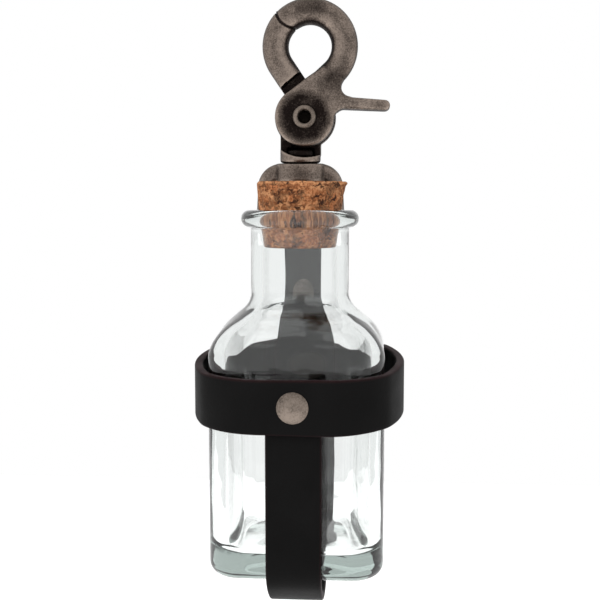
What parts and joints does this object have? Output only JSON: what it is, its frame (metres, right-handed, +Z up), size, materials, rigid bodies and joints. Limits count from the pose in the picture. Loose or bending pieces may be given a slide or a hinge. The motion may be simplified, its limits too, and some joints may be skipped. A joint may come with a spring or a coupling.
{
  "type": "corked potion bottle in a leather holder",
  "caption": "Clear square glass bottle with a cork stopper, carried in a riveted black leather strap holder that hangs from an antique-silver swivel snap hook.",
  "frame": {"origin": "the middle of the snap hook's ring, which the whole thing hangs from", "axes": "+Z up along the bottle and hook, +Y to the back, from the bottle's front strap towards the hook's plane, +X to the side that the thumb lever points to"},
  "size_m": [0.0596, 0.0653, 0.1743],
  "materials": {
    "bottle_glass": "gloss",
    "cork": "matte",
    "black_leather": "satin",
    "antique_silver": "satin",
    "rivet_silver": "satin",
    "spring_wire": "satin"
  },
  "bodies": {
    "snap": {"snap_body": "antique_silver", "jaw_pivot_rivet": "antique_silver", "jaw_spring": "spring_wire"},
    "jaw": {"snap_jaw": "antique_silver"},
    "eye": {"swivel_eye": "antique_silver"},
    "holder": {"glass_bottle": "bottle_glass", "leather_band": "black_leather", "leather_strap": "black_leather", "front_rivet_cap": "rivet_silver", "front_rivet_post": "rivet_silver", "back_rivet_cap": "rivet_silver", "back_rivet_post": "rivet_silver", "loop_rivet_cap": "rivet_silver", "loop_rivet_post": "rivet_silver"},
    "cork": {"cork_stopper": "cork"}
  },
  "joints": [
    {"name": "jaw_open", "type": "hinge", "parent": "snap", "child": "jaw", "pos_m": [-0.0015, 0, -0.02095], "axis": [0, 1, 0], "range_deg": [0, 18], "stiffness_Nm_per_rad": 0.15, "springref_deg": -45.84},
    {"name": "eye_swivel", "type": "hinge", "parent": "snap", "child": "eye", "pos_m": [-0.0029, 0, -0.0346], "axis": [0, 0, 1], "continuous": true},
    {"name": "holder_swing", "type": "hinge", "parent": "eye", "child": "holder", "pos_m": [-0.0029, 0, -0.0549], "axis": [1, 0, 0], "range_deg": [0, 110]},
    {"name": "cork_pull", "type": "slide", "parent": "holder", "child": "cork", "axis": [0, 0, 1], "range_m": [0, 0.012]}
  ]
}
